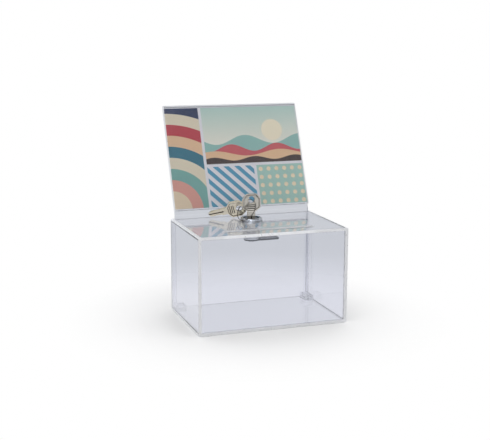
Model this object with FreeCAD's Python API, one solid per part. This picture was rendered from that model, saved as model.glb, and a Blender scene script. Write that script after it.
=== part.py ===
import FreeCAD, Part
import math
import os

# Clear acrylic donation box with a lift-out rear panel, a card header and a cam lock in the lid.
# Millimetres. Origin on the table under the middle of the box, +X right, -Y front, +Z up.

# Sleeve: floor, sides and lid in one piece
box_width = 156.0
box_depth = 100.0
box_height = 98.0
sheet = 3.0
outer_corner = 2.0
inner_corner = 0.5

# Front panel, glued inside the sleeve
front_sheet = 3.0
front_recess = 0.4
front_corner_ease = 0.5

# Drop slot in the lid
slot_length = 96.0
slot_width = 7.0
slot_from_front = 19.0

# Rear panel and header, one bent sheet
panel_sheet = 2.0
panel_side_gap = 0.5
panel_corner_cut = 4.0
slide_gap = 0.3
header_bend_height = 3.9
header_bend_radius = 5.0
header_lean = 22.9
header_length = 118.0
pocket_gap = 1.6
flap_foot = 3.7

# Card and the ledge that it stands on
card_side_gap = 0.5
card_top_gap = 0.6
card_sheet = 0.35
ledge_height = 1.5
ledge_end_gap = 4.0
card_foot_gap = 0.3

# Guide strips and seat blocks in the rear corners
rear_strip_width = 4.0
rear_strip_sheet = 1.5
front_strip_width = 3.0
front_strip_sheet = 3.0
strip_corner_ease = 0.5
block_width = 10.0
block_length = 16.0
block_height = 6.0

# Lock housing
lock_from_rear = 30.0
flange_diameter = 22.5
flange_height = 2.4
flange_round = 0.8
barrel_diameter = 18.0
barrel_flats = 16.0
barrel_length = 18.3
lid_hole_gap = 0.25
nut_flats = 24.0
nut_height = 4.0
nut_bore_gap = 0.15
washer_diameter = 23.0
washer_sheet = 0.8

# Plug that the key turns
plug_diameter = 12.0
plug_gap = 0.05
plug_head_diameter = 14.0
plug_head_height = 1.0
plug_recess = 0.4
keyway_gap = 0.25
tail_side = 6.0
tail_gap = 0.05

# Wafer tumblers and their springs
wafer_count = 4
wafer_first_depth = 3.2
wafer_pitch = 2.6
wafer_sheet = 1.2
wafer_width = 5.2
wafer_gap = 0.1
wafer_lug_width = 1.7
wafer_lug_length = 1.2
spring_diameter = 1.3
spring_length = 2.8

# Turn stop, cam and the screw that holds them
stop_diameter = 17.0
stop_sheet = 1.2
stop_gap = 0.15
stop_lug_width = 2.4
stop_lug_length = 1.4
stop_lug_gap = 0.2
turn_angle = 90.0
cam_reach = 29.0
cam_width = 13.0
cam_sheet = 1.6
cam_hub_diameter = 16.0
cam_corner = 3.0
cam_slot_side_gap = 1.0
cam_slot_height_gap = 1.5
cam_washer_diameter = 9.0
cam_washer_sheet = 0.5
screw_diameter = 3.5
screw_gap = 0.05
screw_length = 7.0
screw_head_diameter = 7.0
screw_head_height = 1.4
screw_slot_width = 1.0
screw_slot_depth = 0.7

# Keys, cut from one plate each
key_sheet = 2.0
key_seat_gap = 0.2
blade_width = 6.5
blade_length = 14.0
blade_tip = 2.5
blade_groove_width = 1.4
blade_groove_depth = 0.45
bit_depth = 0.8
bit_width = 1.6
neck_width = 8.3
neck_height = 5.6
shoulder_height = 3.9
bow_width = 19.6
bow_side_height = 9.8
bow_top_height = 5.3
bow_top_width = 11.0
bow_corner = 1.6
key_hole_diameter = 7.0
key_hole_from_top = 6.2

# Key ring and the spare key that hangs on it
ring_radius = 12.0
ring_wire = 1.1
ring_rest_gap = 0.4
ring_turn = 20.0
spare_heading = 144.0
spare_dip = 14.0
spare_lean = 28.0
spare_rest_gap = 0.4

# Places worked out from the sizes above
inner_half_width = box_width / 2 - sheet
front_edge = -box_depth / 2
rear_edge = box_depth / 2
lid_under = box_height - sheet
front_panel_face = front_edge + front_recess
slot_y = front_edge + slot_from_front
lock_y = rear_edge - lock_from_rear
panel_rear = rear_edge - rear_strip_sheet - slide_gap
panel_front = panel_rear - panel_sheet
panel_middle = panel_rear - panel_sheet / 2
header_bend_z = box_height + header_bend_height
panel_half_width = inner_half_width - panel_side_gap
panel_foot = sheet + slide_gap
strip_front = panel_front - slide_gap
corner_ease = inner_corner + strip_corner_ease
lean = math.radians(header_lean)
fold_radius = (pocket_gap + panel_sheet) / 2
fold_depth = fold_radius + panel_sheet / 2
flange_top = box_height + flange_height
barrel_foot = box_height - barrel_length
plug_top = flange_top - plug_recess
stop_top = barrel_foot - stop_gap
cam_top = stop_top - stop_sheet
cam_foot = cam_top - cam_sheet
bow_foot = neck_height
bow_top = neck_height + shoulder_height + bow_side_height + bow_top_height
key_seat = flange_top + key_seat_gap
key_hole_up = bow_top - key_hole_from_top

X_AXIS = FreeCAD.Vector(1, 0, 0)
Y_AXIS = FreeCAD.Vector(0, 1, 0)
Z_AXIS = FreeCAD.Vector(0, 0, 1)


def at(x, y, z):
    return FreeCAD.Vector(x, y, z)


def block(x0, x1, y0, y1, z0, z1):
    return Part.makeBox(x1 - x0, y1 - y0, z1 - z0, at(x0, y0, z0))


def rod(diameter, x, y, z0, z1):
    return Part.makeCylinder(diameter / 2, z1 - z0, at(x, y, z0), Z_AXIS)


def prism(points, travel):
    outline = Part.makePolygon(points + points[:1])
    return Part.Face(outline).extrude(travel)


def edges_along(solid, direction):
    found = []
    for edge in solid.Edges:
        if edge.Curve.TypeId == "Part::GeomLine" and edge.Curve.Direction.cross(direction).Length < 1e-6:
            found.append(edge)
    return found


def rounded_slab(half_width, z0, z1, y0, y1, radius):
    slab = block(-half_width, half_width, y0, y1, z0, z1)
    return slab.makeFillet(radius, edges_along(slab, Y_AXIS))


def flatted_rod(diameter, flats, z0, z1):
    core = block(-diameter, diameter, lock_y - flats / 2, lock_y + flats / 2, z0, z1)
    return rod(diameter, 0, lock_y, z0, z1).common(core)


def mirrored(solid):
    return solid.mirror(at(0, 0, 0), X_AXIS)


# Sheet bent along a path in the YZ plane; headings turn from +Z towards +Y
def bent_sheet(start, moves, thickness, half_width):
    left, right = [], []
    spot, heading = start, 0.0
    for kind, size, turn in moves:
        ahead = at(0, math.sin(heading), math.cos(heading))
        side = at(0, math.cos(heading), -math.sin(heading))
        half = thickness / 2
        if kind == "run":
            goal = spot + ahead * size
            left.append(Part.LineSegment(spot - side * half, goal - side * half).toShape())
            right.append(Part.LineSegment(spot + side * half, goal + side * half).toShape())
        else:
            sign = 1 if turn > 0 else -1
            centre = spot + side * (size * sign)
            arms = []
            for share in (0, 0.5, 1):
                angle = heading + turn * share
                arms.append(at(0, math.cos(angle), -math.sin(angle)) * -sign)
            goal = centre + arms[2] * size
            for found, offset in ((left, sign * half), (right, -sign * half)):
                three = [centre + arm * (size + offset) for arm in arms]
                found.append(Part.Arc(*three).toShape())
            heading += turn
        spot = goal
    first = Part.LineSegment(left[0].firstVertex().Point, right[0].firstVertex().Point).toShape()
    last = Part.LineSegment(left[-1].lastVertex().Point, right[-1].lastVertex().Point).toShape()
    outline = Part.Wire(Part.__sortEdges__(left + right + [first, last]))
    sheet_solid = Part.Face(outline).extrude(X_AXIS * (2 * half_width))
    sheet_solid.translate(X_AXIS * -half_width)
    return sheet_solid


# Header frame: along runs up the leaning sheet from the bend, out points forward from its front face
def on_header(along, out):
    forward = out + panel_sheet / 2
    y = panel_middle + along * math.sin(lean) - forward * math.cos(lean)
    z = header_bend_z + along * math.cos(lean) + forward * math.sin(lean)
    return at(0, y, z)


def header_slab(half_width, low, high, out0, out1):
    corners = [on_header(low, out0), on_header(high, out0), on_header(high, out1), on_header(low, out1)]
    slab = prism(corners, X_AXIS * (2 * half_width))
    slab.translate(X_AXIS * -half_width)
    return slab


def make_sleeve():
    outer = rounded_slab(box_width / 2, 0, box_height, front_edge, rear_edge, outer_corner)
    y0, y1 = front_edge - sheet, rear_edge + sheet
    hollow = rounded_slab(inner_half_width, sheet, lid_under, y0, y1, inner_corner)
    sleeve = outer.cut(hollow)
    half_run = slot_length / 2 - slot_width / 2
    z0, z1 = lid_under - sheet, box_height + sheet
    slot = block(-half_run, half_run, slot_y - slot_width / 2, slot_y + slot_width / 2, z0, z1)
    for end in (-half_run, half_run):
        slot = slot.fuse(rod(slot_width, end, slot_y, z0, z1))
    lock_hole = flatted_rod(barrel_diameter + 2 * lid_hole_gap, barrel_flats + 2 * lid_hole_gap, z0, z1)
    reach = panel_half_width + slide_gap
    notch = block(-reach, reach, strip_front, rear_edge + sheet, lid_under - inner_corner, z1)
    return sleeve.cut([slot, lock_hole, notch])


def make_front_panel():
    y0, y1 = front_panel_face, front_panel_face + front_sheet
    return rounded_slab(inner_half_width, sheet, lid_under, y0, y1, inner_corner + front_corner_ease)


def make_rear_panel():
    tangent = (header_bend_radius + panel_sheet / 2) * math.tan(lean / 2)
    moves = [
        ("run", header_bend_z - panel_foot - tangent, 0),
        ("bend", header_bend_radius + panel_sheet / 2, lean),
        ("run", header_length - fold_depth - tangent, 0),
        ("bend", fold_radius, -math.pi),
        ("run", header_length - fold_depth - flap_foot, 0),
    ]
    panel = bent_sheet(at(0, panel_middle, panel_foot), moves, panel_sheet, panel_half_width)
    for side in (-1, 1):
        corner = at(side * panel_half_width, panel_front - panel_sheet, panel_foot)
        points = [corner, corner - X_AXIS * (side * panel_corner_cut), corner + Z_AXIS * panel_corner_cut]
        panel = panel.cut(prism(points, Y_AXIS * (3 * panel_sheet)))
    return panel.cut(cam_slot())


# Window in the rear panel that the cam swings into
def cam_slot():
    sweep = math.hypot(cam_reach - cam_corner, cam_width / 2 - cam_corner) + cam_corner
    from_axis = panel_front - lock_y
    far_side = math.sqrt(max(sweep ** 2 - from_axis ** 2, 0))
    x0 = -cam_width / 2 - cam_slot_side_gap
    x1 = max(far_side, cam_width / 2) + cam_slot_side_gap
    z0, z1 = cam_foot - cam_slot_height_gap, cam_top + cam_slot_height_gap
    return block(x0, x1, panel_front - panel_sheet, panel_rear + panel_sheet, z0, z1)


def make_card_ledge():
    return header_slab(panel_half_width - ledge_end_gap, flap_foot, flap_foot + ledge_height, 0, pocket_gap)


def make_info_card():
    low = flap_foot + ledge_height + card_foot_gap
    high = header_length - fold_depth - card_top_gap
    half_width = panel_half_width - card_side_gap
    return header_slab(half_width, low, high, (pocket_gap - card_sheet) / 2, (pocket_gap + card_sheet) / 2)


# Upright strip on the right side wall, with its outer ends cut clear of the bends
def wall_strip(width, y0, y1, z0, z1, eased_foot):
    x1 = inner_half_width
    points = [at(x1 - width, y0, z1), at(x1 - width, y0, z0)]
    if eased_foot:
        points += [at(x1 - corner_ease, y0, z0), at(x1, y0, z0 + corner_ease)]
    else:
        points += [at(x1, y0, z0)]
    points += [at(x1, y0, z1 - corner_ease), at(x1 - corner_ease, y0, z1)]
    return prism(points, Y_AXIS * (y1 - y0))


def make_rear_strip():
    return wall_strip(rear_strip_width, panel_rear + slide_gap, rear_edge, sheet, lid_under, True)


def make_front_strip():
    foot = sheet + block_height
    y0 = strip_front - front_strip_sheet
    return wall_strip(front_strip_width, y0, strip_front, foot, lid_under, False)


def make_seat_block():
    x0, x1 = inner_half_width - block_width, inner_half_width
    top = sheet + block_height
    y0 = strip_front - block_length
    points = [at(x0, y0, top), at(x0, y0, sheet), at(x1 - corner_ease, y0, sheet)]
    points += [at(x1, y0, sheet + corner_ease), at(x1, y0, top)]
    return prism(points, Y_AXIS * block_length)


def make_lock_housing():
    flange = rod(flange_diameter, 0, lock_y, box_height, flange_top)
    rim = [edge for edge in flange.Edges if abs(edge.BoundBox.ZMin - flange_top) < 1e-6]
    flange = flange.makeFillet(flange_round, rim)
    barrel = flatted_rod(barrel_diameter, barrel_flats, barrel_foot, box_height)
    bore = rod(plug_diameter + 2 * plug_gap, 0, lock_y, barrel_foot - sheet, flange_top + sheet)
    head_foot = plug_top - plug_head_height - plug_gap
    seat = rod(plug_head_diameter + 2 * plug_gap, 0, lock_y, head_foot, flange_top + sheet)
    return flange.fuse(barrel).cut([bore, seat]).fuse(stop_lug()).removeSplitter()


# Lug under the barrel that limits the turn; it stands at the +Y side of the axis
def stop_lug():
    x1 = stop_lug_width / 2
    y1 = lock_y + barrel_flats / 2
    return block(-x1, x1, y1 - stop_lug_length, y1, stop_top - stop_sheet + stop_lug_gap, barrel_foot)


def make_lock_washer():
    washer = rod(washer_diameter, 0, lock_y, lid_under - washer_sheet, lid_under)
    bore = barrel_diameter + 2 * nut_bore_gap
    return washer.cut(rod(bore, 0, lock_y, lid_under - 2 * washer_sheet, lid_under + washer_sheet))


def make_lock_nut():
    top = lid_under - washer_sheet
    corner_radius = nut_flats / 2 / math.cos(math.pi / 6)
    points = []
    for step in range(6):
        angle = step * math.pi / 3
        arm = at(math.cos(angle), math.sin(angle), 0) * corner_radius
        points.append(at(0, lock_y, top - nut_height) + arm)
    nut = prism(points, Z_AXIS * nut_height)
    bore = barrel_diameter + 2 * nut_bore_gap
    return nut.cut(rod(bore, 0, lock_y, top - 2 * nut_height, top + nut_height))


def wafer_heights():
    return [plug_top - wafer_first_depth - step * wafer_pitch for step in range(wafer_count)]


# One wafer with its spring lug; grow widens every face, for the cut in the plug
def wafer(z, grow):
    half = wafer_sheet / 2 + grow
    across = wafer_width / 2 + grow
    plate = block(-plug_diameter, plug_diameter, lock_y - across, lock_y + across, z - half, z + half)
    x0, x1 = spring_length / 2 - grow, spring_length / 2 + wafer_lug_length + grow
    y0, y1 = lock_y + wafer_width / 2 - grow, lock_y + wafer_width / 2 + wafer_lug_width + grow
    lug = block(x0, x1, y0, y1, z - half, z + half)
    reach = plug_diameter - 2 * wafer_gap + 2 * grow
    return plate.fuse(lug).common(rod(reach, 0, lock_y, z - half, z + half))


def spring_rod(z, diameter, length):
    y = lock_y + wafer_width / 2 + wafer_lug_width / 2
    return Part.makeCylinder(diameter / 2, length, at(-spring_length / 2, y, z), X_AXIS)


def keyway(gap, depth):
    x1 = blade_width / 2 + gap
    y1 = key_sheet / 2 + gap
    return block(-x1, x1, lock_y - y1, lock_y + y1, plug_top - depth, flange_top + sheet)


def make_wafer_tumblers():
    window = keyway(keyway_gap, blade_length + keyway_gap)
    return Part.makeCompound([wafer(z, 0).cut(window) for z in wafer_heights()])


def make_wafer_springs():
    return Part.makeCompound([spring_rod(z, spring_diameter, spring_length) for z in wafer_heights()])


def make_lock_plug():
    body = rod(plug_diameter, 0, lock_y, barrel_foot, plug_top)
    head = rod(plug_head_diameter, 0, lock_y, plug_top - plug_head_height, plug_top)
    half = tail_side / 2
    tail = block(-half, half, lock_y - half, lock_y + half, cam_foot, barrel_foot)
    cuts = [keyway(keyway_gap, blade_length + keyway_gap)]
    for z in wafer_heights():
        cuts.append(wafer(z, wafer_gap))
        cuts.append(spring_rod(z, spring_diameter + wafer_gap, spring_length))
    cuts.append(rod(screw_diameter + 2 * screw_gap, 0, lock_y, cam_foot - sheet, cam_foot + screw_length))
    return body.fuse([head, tail]).cut(cuts).removeSplitter()


def tail_hole(z0, z1):
    half = tail_side / 2 + tail_gap
    return block(-half, half, lock_y - half, lock_y + half, z0, z1)


# Disc with a notch that swings past the lug on the housing
def make_turn_stop():
    z0 = cam_top
    disc = rod(stop_diameter, 0, lock_y, z0, z0 + stop_sheet)
    inner = barrel_flats / 2 - stop_lug_length - stop_lug_gap
    half_angle = math.degrees(math.atan2(stop_lug_width / 2 + stop_lug_gap, inner))
    sweep = turn_angle + 2 * half_angle
    notch = Part.makeCylinder(stop_diameter, stop_sheet, at(0, lock_y, z0), Z_AXIS, sweep)
    notch.rotate(at(0, lock_y, z0), Z_AXIS, 90 + half_angle - sweep)
    notch = notch.cut(rod(2 * inner, 0, lock_y, z0, z0 + stop_sheet))
    return disc.cut([notch, tail_hole(z0 - sheet, z0 + 2 * sheet)])


def make_cam():
    half = cam_width / 2
    arm = block(0, cam_reach, lock_y - half, lock_y + half, cam_foot, cam_top)
    tip_edges = [edge for edge in edges_along(arm, Z_AXIS) if edge.BoundBox.XMin > cam_reach / 2]
    arm = arm.makeFillet(cam_corner, tip_edges)
    cam = arm.fuse(rod(cam_hub_diameter, 0, lock_y, cam_foot, cam_top)).removeSplitter()
    return cam.cut(tail_hole(cam_foot - sheet, cam_top + sheet))


def make_cam_washer():
    top = cam_foot
    washer = rod(cam_washer_diameter, 0, lock_y, top - cam_washer_sheet, top)
    bore = screw_diameter + 2 * screw_gap
    return washer.cut(rod(bore, 0, lock_y, top - 2 * cam_washer_sheet, top + cam_washer_sheet))


def make_cam_screw():
    top = cam_foot - cam_washer_sheet
    foot = top - screw_head_height
    head = rod(screw_head_diameter, 0, lock_y, foot, top)
    rim = [edge for edge in head.Edges if abs(edge.BoundBox.ZMax - foot) < 1e-6]
    head = head.makeFillet(screw_head_height / 2, rim)
    half = screw_slot_width / 2
    reach = screw_head_diameter
    slot = block(-half, half, lock_y - reach, lock_y + reach, foot - sheet, foot + screw_slot_depth)
    shank = rod(screw_diameter, 0, lock_y, top, top + screw_length)
    return head.cut(slot).fuse(shank)


# Key standing on its blade: the neck's foot is at z = 0 and the plate lies in the XZ plane
def make_key_blank():
    half = key_sheet / 2
    wide, top = bow_width / 2, bow_top
    side_foot = bow_foot + shoulder_height
    side_top = side_foot + bow_side_height
    profile = [(neck_width / 2, bow_foot), (wide, side_foot), (wide, side_top), (bow_top_width / 2, top)]
    points = [at(x, -half, z) for x, z in profile]
    points += [at(-x, -half, z) for x, z in reversed(profile)]
    bow = prism(points, Y_AXIS * key_sheet)
    low = bow_foot + shoulder_height / 2
    corners = [edge for edge in edges_along(bow, Y_AXIS) if edge.BoundBox.ZMin > low]
    bow = bow.makeFillet(bow_corner, corners)
    neck = block(-neck_width / 2, neck_width / 2, -half, half, 0, bow_foot)
    key = bow.fuse([neck, key_blade()]).removeSplitter()
    hole = Part.makeCylinder(key_hole_diameter / 2, 2 * key_sheet, at(0, -key_sheet, key_hole_up), Y_AXIS)
    return key.cut(hole)


# Blade with a pointed tip, a groove along each face and one cut for each wafer
def key_blade():
    half, wide = key_sheet / 2, blade_width / 2
    foot = -blade_length
    profile = [(wide, 0), (wide, foot + blade_tip), (wide - blade_tip, foot)]
    points = [at(x, -half, z) for x, z in profile]
    points += [at(-x, -half, z) for x, z in reversed(profile)]
    blade = prism(points, Y_AXIS * key_sheet)
    groove_x = blade_groove_width / 2
    cuts = []
    for face in (-half, half):
        y0, y1 = face - blade_groove_depth, face + blade_groove_depth
        cuts.append(block(-groove_x, groove_x, y0, y1, foot, 0))
    for step, z in enumerate(wafer_heights()):
        depth = bit_depth * (1 + step % 2) / 2
        side = 1 if step < wafer_count / 2 else -1
        low, high = z - key_seat - bit_width / 2, z - key_seat + bit_width / 2
        inner, outer = side * (wide - depth), side * (wide + depth)
        cut = [at(inner, -key_sheet, low), at(inner, -key_sheet, high)]
        cut += [at(outer, -key_sheet, high + 2 * depth), at(outer, -key_sheet, low - 2 * depth)]
        cuts.append(prism(cut, Y_AXIS * (2 * key_sheet)))
    return blade.cut(cuts)


def make_key():
    key = make_key_blank()
    key.translate(at(0, lock_y, key_seat))
    return key


# The ring passes through the fitted key's hole and rests on the lid beside the lock flange
def ring_tilt():
    drop = key_seat + key_hole_up - box_height - ring_wire / 2 - ring_rest_gap
    return math.acos(drop / (2 * ring_radius))


def ring_centre():
    tilt = ring_tilt()
    hole_z = key_seat + key_hole_up
    return at(-ring_radius * math.sin(tilt), lock_y, hole_z - ring_radius * math.cos(tilt))


def make_key_ring():
    tilt = ring_tilt()
    ring = Part.makeTorus(ring_radius, ring_wire / 2, ring_centre(), at(math.cos(tilt), 0, -math.sin(tilt)))
    ring.rotate(at(0, lock_y, 0), Z_AXIS, ring_turn)
    return ring


# Turn of the spare key, from standing upright to lying along its heading, counted from the ring
def spare_turn():
    lie_down = FreeCAD.Rotation(Y_AXIS, 90 - spare_dip)
    lean_over = FreeCAD.Rotation(X_AXIS, spare_lean)
    head_round = FreeCAD.Rotation(Z_AXIS, spare_heading + 180)
    return head_round.multiply(lean_over.multiply(lie_down))


# The spare key hangs on the rear of the ring at the height where its lowest edge clears the lid
def make_spare_key():
    key = make_key_blank()
    key.translate(at(0, 0, -key_hole_up))
    key.Placement = FreeCAD.Placement(at(0, 0, 0), spare_turn()).multiply(key.Placement)
    hole_z = box_height + spare_rest_gap - key.optimalBoundingBox().ZMin
    tilt = ring_tilt()
    centre = ring_centre()
    rise = (hole_z - centre.z) / (ring_radius * math.cos(tilt))
    back = ring_radius * math.sqrt(1 - rise ** 2)
    x = centre.x + ring_radius * rise * math.sin(tilt)
    key.translate(at(x, centre.y + back, hole_z))
    key.rotate(at(0, lock_y, 0), Z_AXIS, ring_turn)
    return key


def main():
    os.makedirs("parts", exist_ok=True)
    rear_strip, front_strip, seat_block = make_rear_strip(), make_front_strip(), make_seat_block()
    nodes = {
        "sleeve": make_sleeve(),
        "front_panel": make_front_panel(),
        "rear_panel": make_rear_panel(),
        "card_ledge": make_card_ledge(),
        "info_card": make_info_card(),
        "rear_guide_right": rear_strip,
        "rear_guide_left": mirrored(rear_strip),
        "front_guide_right": front_strip,
        "front_guide_left": mirrored(front_strip),
        "seat_block_right": seat_block,
        "seat_block_left": mirrored(seat_block),
        "lock_housing": make_lock_housing(),
        "lock_washer": make_lock_washer(),
        "lock_nut": make_lock_nut(),
        "lock_plug": make_lock_plug(),
        "wafer_tumblers": make_wafer_tumblers(),
        "wafer_springs": make_wafer_springs(),
        "turn_stop": make_turn_stop(),
        "cam": make_cam(),
        "cam_washer": make_cam_washer(),
        "cam_screw": make_cam_screw(),
        "key": make_key(),
        "key_ring": make_key_ring(),
        "spare_key": make_spare_key(),
    }
    for name, solid in nodes.items():
        solid.exportStep("parts/" + name + ".step")
        print(name, "valid", solid.isValid(), "solids", len(solid.Solids), "volume", round(solid.Volume, 1))


main()
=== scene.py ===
import math
import bmesh
import bpy
from mathutils import Matrix, Vector


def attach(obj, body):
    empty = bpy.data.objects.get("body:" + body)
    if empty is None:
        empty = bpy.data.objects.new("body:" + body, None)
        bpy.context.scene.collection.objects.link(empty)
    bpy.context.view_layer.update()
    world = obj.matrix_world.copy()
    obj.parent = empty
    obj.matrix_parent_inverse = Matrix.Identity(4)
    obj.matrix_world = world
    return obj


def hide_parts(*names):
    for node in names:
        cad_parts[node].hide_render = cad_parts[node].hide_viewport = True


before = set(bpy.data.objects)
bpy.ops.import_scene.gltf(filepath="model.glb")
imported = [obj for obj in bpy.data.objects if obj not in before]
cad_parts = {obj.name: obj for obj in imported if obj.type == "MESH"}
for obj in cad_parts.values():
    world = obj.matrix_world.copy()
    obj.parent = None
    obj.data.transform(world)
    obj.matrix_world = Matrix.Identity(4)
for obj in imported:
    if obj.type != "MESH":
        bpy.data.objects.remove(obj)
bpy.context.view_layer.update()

# Sizes in millimetres, the same as the construction model's
MM = 0.001
X, Y, Z = 0, 1, 2
SHEET = 3.0
BOX_LOW, BOX_HIGH = (-78.0, -50.0, 0.0), (78.0, 50.0, 98.0)
OUTER_CORNER, INNER_CORNER = 2.0, 0.5
WALL_X = BOX_HIGH[X] - SHEET
LID_TOP = BOX_HIGH[Z]
LID_UNDER = LID_TOP - SHEET
LID_REAR, NOTCH_HALF = 45.9, 74.8
SLOT_HALF, SLOT_WIDTH, SLOT_Y = 48.0, 7.0, -31.0
FRONT_FACE, FRONT_CORNER = -49.6, 1.0
STRIP_CORNER, SEAT_TOP = 1.0, 9.0
PANEL_HALF, PANEL_SHEET, PANEL_Y, PANEL_FOOT = 74.5, 2.0, 47.2, 3.3
PANEL_CORNER = 4.0
BEND_Z, BEND_LINE_RADIUS = 101.9, 6.0
LEAN = math.radians(22.9)
HEADER_LENGTH, FLAP_FOOT, POCKET_GAP, FOLD_LINE_RADIUS = 118.0, 3.7, 1.6, 1.8
CAM_WINDOW_LOW, CAM_WINDOW_HIGH = (-7.5, 44.2, 75.25), (13.97, 50.2, 79.85)
LEDGE_HALF, LEDGE_HEIGHT = 70.5, 1.5
CARD_HALF, CARD_FOOT, CARD_TOP, CARD_SHEET = 74.0, 5.5, 114.6, 0.35
LOCK_Y, LOCK_HOLE_GAP = 20.0, 0.25
FLANGE_TOP, BARREL_FOOT, DISH_RADIUS = 100.4, 79.7, 8.3
BARREL_RADIUS, BARREL_FLAT = 9.0, 8.0
CAM_FOOT, CAM_TOP, CAM_REACH, CAM_HALF = 76.75, 78.35, 29.0, 6.5
KEY_SEAT, KEY_HALF, KEY_HOLE_UP, KEY_HOLE = 100.6, 1.0, 18.4, 7.0
RING_RADIUS, RING_CENTRE = 12.0, (-6.19765, 17.74424, 108.975)
RING_TURN, RING_TILT = math.radians(20.0), math.radians(33.34075)
SPARE_HOLE = (-10.26845, 29.03254, 109.029)
SPARE_HEADING, SPARE_DIP, SPARE_LEAN = 164.0, 14.0, 28.0

# A key's widths, and its heights above the neck's foot
NECK_WIDTH, BOW_WIDTH, CROWN_WIDTH, BLADE_WIDTH, TIP_WIDTH = 8.3, 19.6, 11.0, 6.5, 1.5
NECK_TOP, BOW_LOW, BOW_HIGH, CROWN = 5.6, 9.5, 19.3, 24.6
SHOULDER, BLADE_LOW, TIP = -0.1, -11.5, -14.0

# Widths of the softened edges, the gap of a glued joint, and how far cutters reach past a piece
POLISHED_EDGE, EASED_EDGE, LEDGE_EDGE = 0.3, 0.2, 0.15
FINE_EDGE, CARD_EDGE, RIM_EDGE = 0.12, 0.08, 0.05
GLUE_LINE = 0.04
PAST_BOX, PAST_LOCK = 60.0, 1.0

# The header's foot, and the directions up its sheet and out of its front
HEADER_FOOT = Vector((0, PANEL_Y, BEND_Z))
UP_HEADER = Vector((0, math.sin(LEAN), math.cos(LEAN)))
OUT_OF_HEADER = Vector((0, -math.cos(LEAN), math.sin(LEAN)))

# Cosines for an edge along an axis, a face along a direction and a face on a rounded edge
ALONG, FACING, EDGE_ON = 0.999, 0.99, 0.3

# Points nearer than this, in metres, are one point; a full turn takes this many steps
ONE_POINT = 1e-7
TURN_STEPS = 72


# Modelling helpers


def bare():
    if bpy.context.object and bpy.context.object.mode != "OBJECT":
        bpy.ops.object.mode_set(mode="OBJECT")
    bpy.ops.object.select_all(action="DESELECT")


def hold(piece):
    bare()
    piece.select_set(True)
    bpy.context.view_layer.objects.active = piece


def rename(piece, name):
    piece.name = name
    piece.data.name = name


def settle(name):
    piece = bpy.context.object
    rename(piece, name)
    bpy.ops.object.transform_apply(location=True, rotation=True, scale=True)
    return piece


def slab(name, low, high, turn=(0, 0, 0)):
    bare()
    middle = [(a + b) / 2 * MM for a, b in zip(low, high)]
    bpy.ops.mesh.primitive_cube_add(size=MM, location=middle, rotation=turn)
    bpy.context.object.scale = [b - a for a, b in zip(low, high)]
    return settle(name)


def drum(name, radius, low, high, place=(0, LOCK_Y), sides=64):
    bare()
    middle = (place[X] * MM, place[Y] * MM, (low + high) / 2 * MM)
    bpy.ops.mesh.primitive_cylinder_add(
        vertices=sides, radius=radius * MM, depth=(high - low) * MM, location=middle
    )
    return settle(name)


# Opens a piece in edit mode with only the parts selected that pass the test
def pick(piece, kind, test):
    hold(piece)
    bpy.ops.object.mode_set(mode="EDIT")
    bpy.ops.mesh.select_mode(type=kind)
    bpy.ops.mesh.select_all(action="DESELECT")
    mesh = bmesh.from_edit_mesh(piece.data)
    parts = {"VERT": mesh.verts, "EDGE": mesh.edges, "FACE": mesh.faces}[kind]
    for part in parts:
        if test(part):
            part.select_set(True)
    mesh.select_flush_mode()
    bmesh.update_edit_mesh(piece.data)


def anything(part):
    return True


def runs_along(axis):
    def test(edge):
        step = (edge.verts[1].co - edge.verts[0].co).normalized()
        return abs(step[axis]) > ALONG
    return test


def faces_towards(direction):
    wanted = Vector(direction).normalized()
    return lambda face: face.normal.dot(wanted) > FACING


# Rounds the edges that pass the test, or cuts them off when there is one step
def round_edges(piece, test, radius, steps):
    pick(piece, "EDGE", test)
    bpy.ops.mesh.bevel(offset=radius * MM, segments=steps, affect="EDGES")
    bare()


def push(x=0.0, y=0.0, z=0.0):
    bpy.ops.mesh.extrude_region_move(TRANSFORM_OT_translate={"value": (x * MM, y * MM, z * MM)})


def change(piece, kind, **settings):
    hold(piece)
    modifier = piece.modifiers.new(kind, kind)
    for key, value in settings.items():
        setattr(modifier, key, value)
    bpy.ops.object.modifier_apply(modifier=modifier.name)


def carve(piece, *tools, way="DIFFERENCE"):
    for tool in tools:
        change(piece, "BOOLEAN", operation=way, solver="EXACT", object=tool)
        bpy.data.objects.remove(tool)


# Cuts a piece along a plane and takes off what lies past it, or only draws the seam
def trim(piece, place, outward, seam_only=False):
    pick(piece, "VERT", anything)
    bpy.ops.mesh.bisect(
        plane_co=Vector(place) * MM, plane_no=outward,
        use_fill=not seam_only, clear_outer=not seam_only, clear_inner=False
    )
    bare()


# Selects all of the open piece and merges the points that coincide
def fuse():
    bpy.ops.mesh.select_all(action="SELECT")
    bpy.ops.mesh.remove_doubles(threshold=ONE_POINT)


def face_out(piece):
    pick(piece, "FACE", anything)
    bpy.ops.mesh.normals_make_consistent(inside=False)
    bare()


def smooth(piece, angle=50.0):
    hold(piece)
    bpy.ops.object.shade_smooth_by_angle(angle=math.radians(angle))


# Softens the edges and keeps the flat faces flat
def soften(piece, width):
    sharper_than = math.radians(40)
    change(
        piece, "BEVEL", width=width * MM, segments=2,
        limit_method="ANGLE", angle_limit=sharper_than
    )
    smooth(piece)
    change(piece, "WEIGHTED_NORMAL", keep_sharp=True)


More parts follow.
